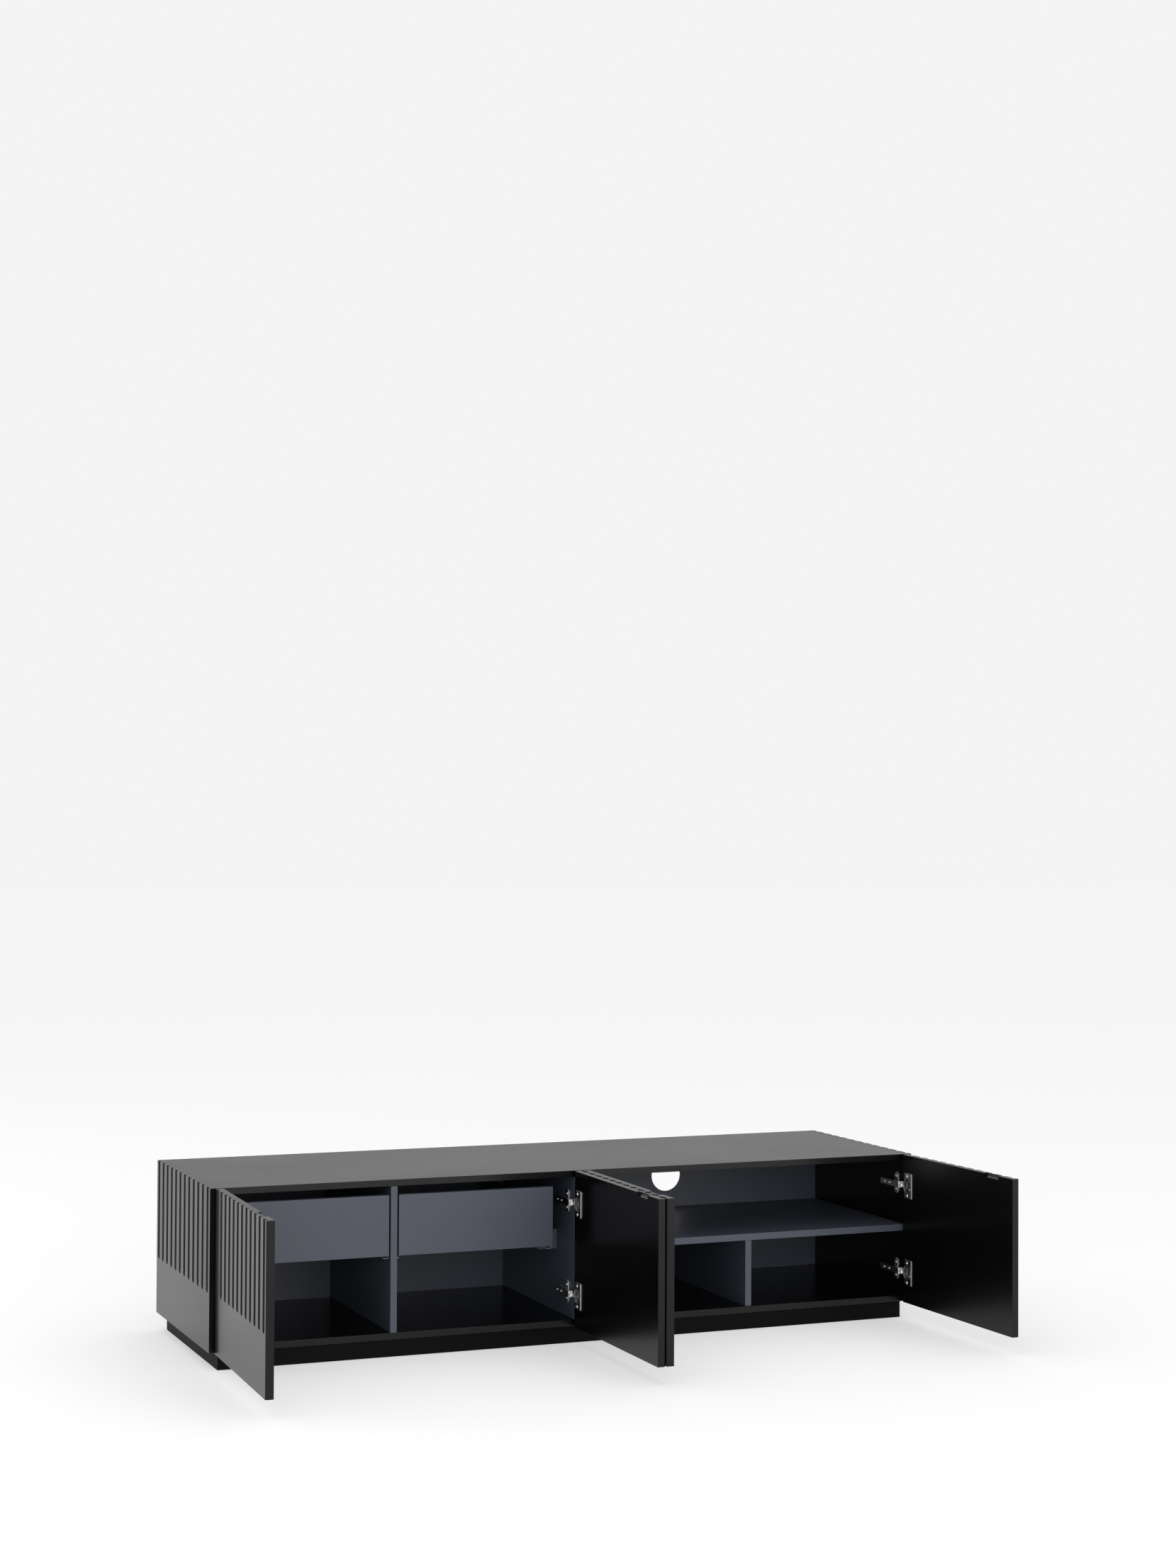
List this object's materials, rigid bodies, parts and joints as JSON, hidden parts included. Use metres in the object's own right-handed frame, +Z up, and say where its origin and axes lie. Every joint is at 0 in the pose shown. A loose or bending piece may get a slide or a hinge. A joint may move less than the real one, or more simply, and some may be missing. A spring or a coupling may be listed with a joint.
{
  "type": "media cabinet",
  "caption": "Low, wide black media cabinet with fluted doors on concealed hinges, inner drawers, open bays, a shelf and a plinth.",
  "frame": {"origin": "centre of the footprint on the floor with the doors standing open and the drawers in, under the plinth", "axes": "+X to the right along the cabinet's front, -Y out of its open front, +Z up"},
  "size_m": [1.809, 0.935, 0.406],
  "materials": {
    "black_lacquer": "satin black lacquer on board",
    "graphite_board": "matt blue-grey board",
    "nickel_steel": "bright nickel-plated steel",
    "grey_steel": "grey powder-coated steel"
  },
  "bodies": {
    "cabinet": {"top_panel": "black_lacquer", "bottom_panel": "black_lacquer", "side_panel_left": "black_lacquer", "side_panel_right": "black_lacquer", "plinth_front": "black_lacquer", "plinth_back": "black_lacquer", "plinth_left": "black_lacquer", "plinth_right": "black_lacquer", "plinth_rail": "black_lacquer", "partition_left": "graphite_board", "partition_right": "graphite_board", "drawer_divider": "graphite_board", "shelf": "graphite_board", "shelf_divider": "graphite_board", "back_panel": "graphite_board", "runner_packer_left": "graphite_board", "runner_packer_right": "graphite_board", "hinge_arm_outer_left_upper": "nickel_steel", "hinge_arm_outer_left_lower": "nickel_steel", "hinge_arm_middle_left_upper": "nickel_steel", "hinge_arm_middle_left_lower": "nickel_steel", "hinge_arm_middle_right_upper": "nickel_steel", "hinge_arm_middle_right_lower": "nickel_steel", "hinge_arm_outer_right_upper": "nickel_steel", "hinge_arm_outer_right_lower": "nickel_steel", "runner_rail_left_packer": "grey_steel", "runner_rail_left_divider": "grey_steel", "runner_rail_right_packer": "grey_steel", "runner_rail_right_divider": "grey_steel"},
    "leaf_outer_left": {"door_outer_left": "black_lacquer", "hinge_cup_outer_left_upper": "nickel_steel", "hinge_cup_outer_left_lower": "nickel_steel"},
    "leaf_middle_left": {"door_middle_left": "black_lacquer", "hinge_cup_middle_left_upper": "nickel_steel", "hinge_cup_middle_left_lower": "nickel_steel"},
    "leaf_middle_right": {"door_middle_right": "black_lacquer", "hinge_cup_middle_right_upper": "nickel_steel", "hinge_cup_middle_right_lower": "nickel_steel"},
    "leaf_outer_right": {"door_outer_right": "black_lacquer", "hinge_cup_outer_right_upper": "nickel_steel", "hinge_cup_outer_right_lower": "nickel_steel"},
    "drawer_left": {"drawer_left_front": "graphite_board", "drawer_left_side_left": "graphite_board", "drawer_left_side_right": "graphite_board", "drawer_left_back": "graphite_board", "drawer_left_base": "graphite_board", "runner_angle_left_packer": "grey_steel", "runner_angle_left_divider": "grey_steel"},
    "drawer_right": {"drawer_right_front": "graphite_board", "drawer_right_side_left": "graphite_board", "drawer_right_side_right": "graphite_board", "drawer_right_back": "graphite_board", "drawer_right_base": "graphite_board", "runner_angle_right_packer": "grey_steel", "runner_angle_right_divider": "grey_steel"}
  },
  "joints": [
    {"name": "hinge_outer_left", "type": "hinge", "parent": "cabinet", "child": "leaf_outer_left", "pos_m": [-0.887, -0.03141, 0.224], "axis": [0, 0, -1], "range_deg": [-92, 13]},
    {"name": "hinge_middle_left", "type": "hinge", "parent": "cabinet", "child": "leaf_middle_left", "pos_m": [-0.008, -0.02731, 0.224], "axis": [0, 0, 1], "range_deg": [-90, 0]},
    {"name": "hinge_middle_right", "type": "hinge", "parent": "cabinet", "child": "leaf_middle_right", "pos_m": [0.008, -0.02731, 0.224], "axis": [0, 0, -1], "range_deg": [-90, 0]},
    {"name": "hinge_outer_right", "type": "hinge", "parent": "cabinet", "child": "leaf_outer_right", "pos_m": [0.887, -0.03141, 0.224], "axis": [0, 0, 1], "range_deg": [-92, 13]},
    {"name": "slide_left", "type": "slide", "parent": "cabinet", "child": "drawer_left", "axis": [0, -1, 0], "range_m": [0, 0.28]},
    {"name": "slide_right", "type": "slide", "parent": "cabinet", "child": "drawer_right", "axis": [0, -1, 0], "range_m": [0, 0.28]}
  ]
}
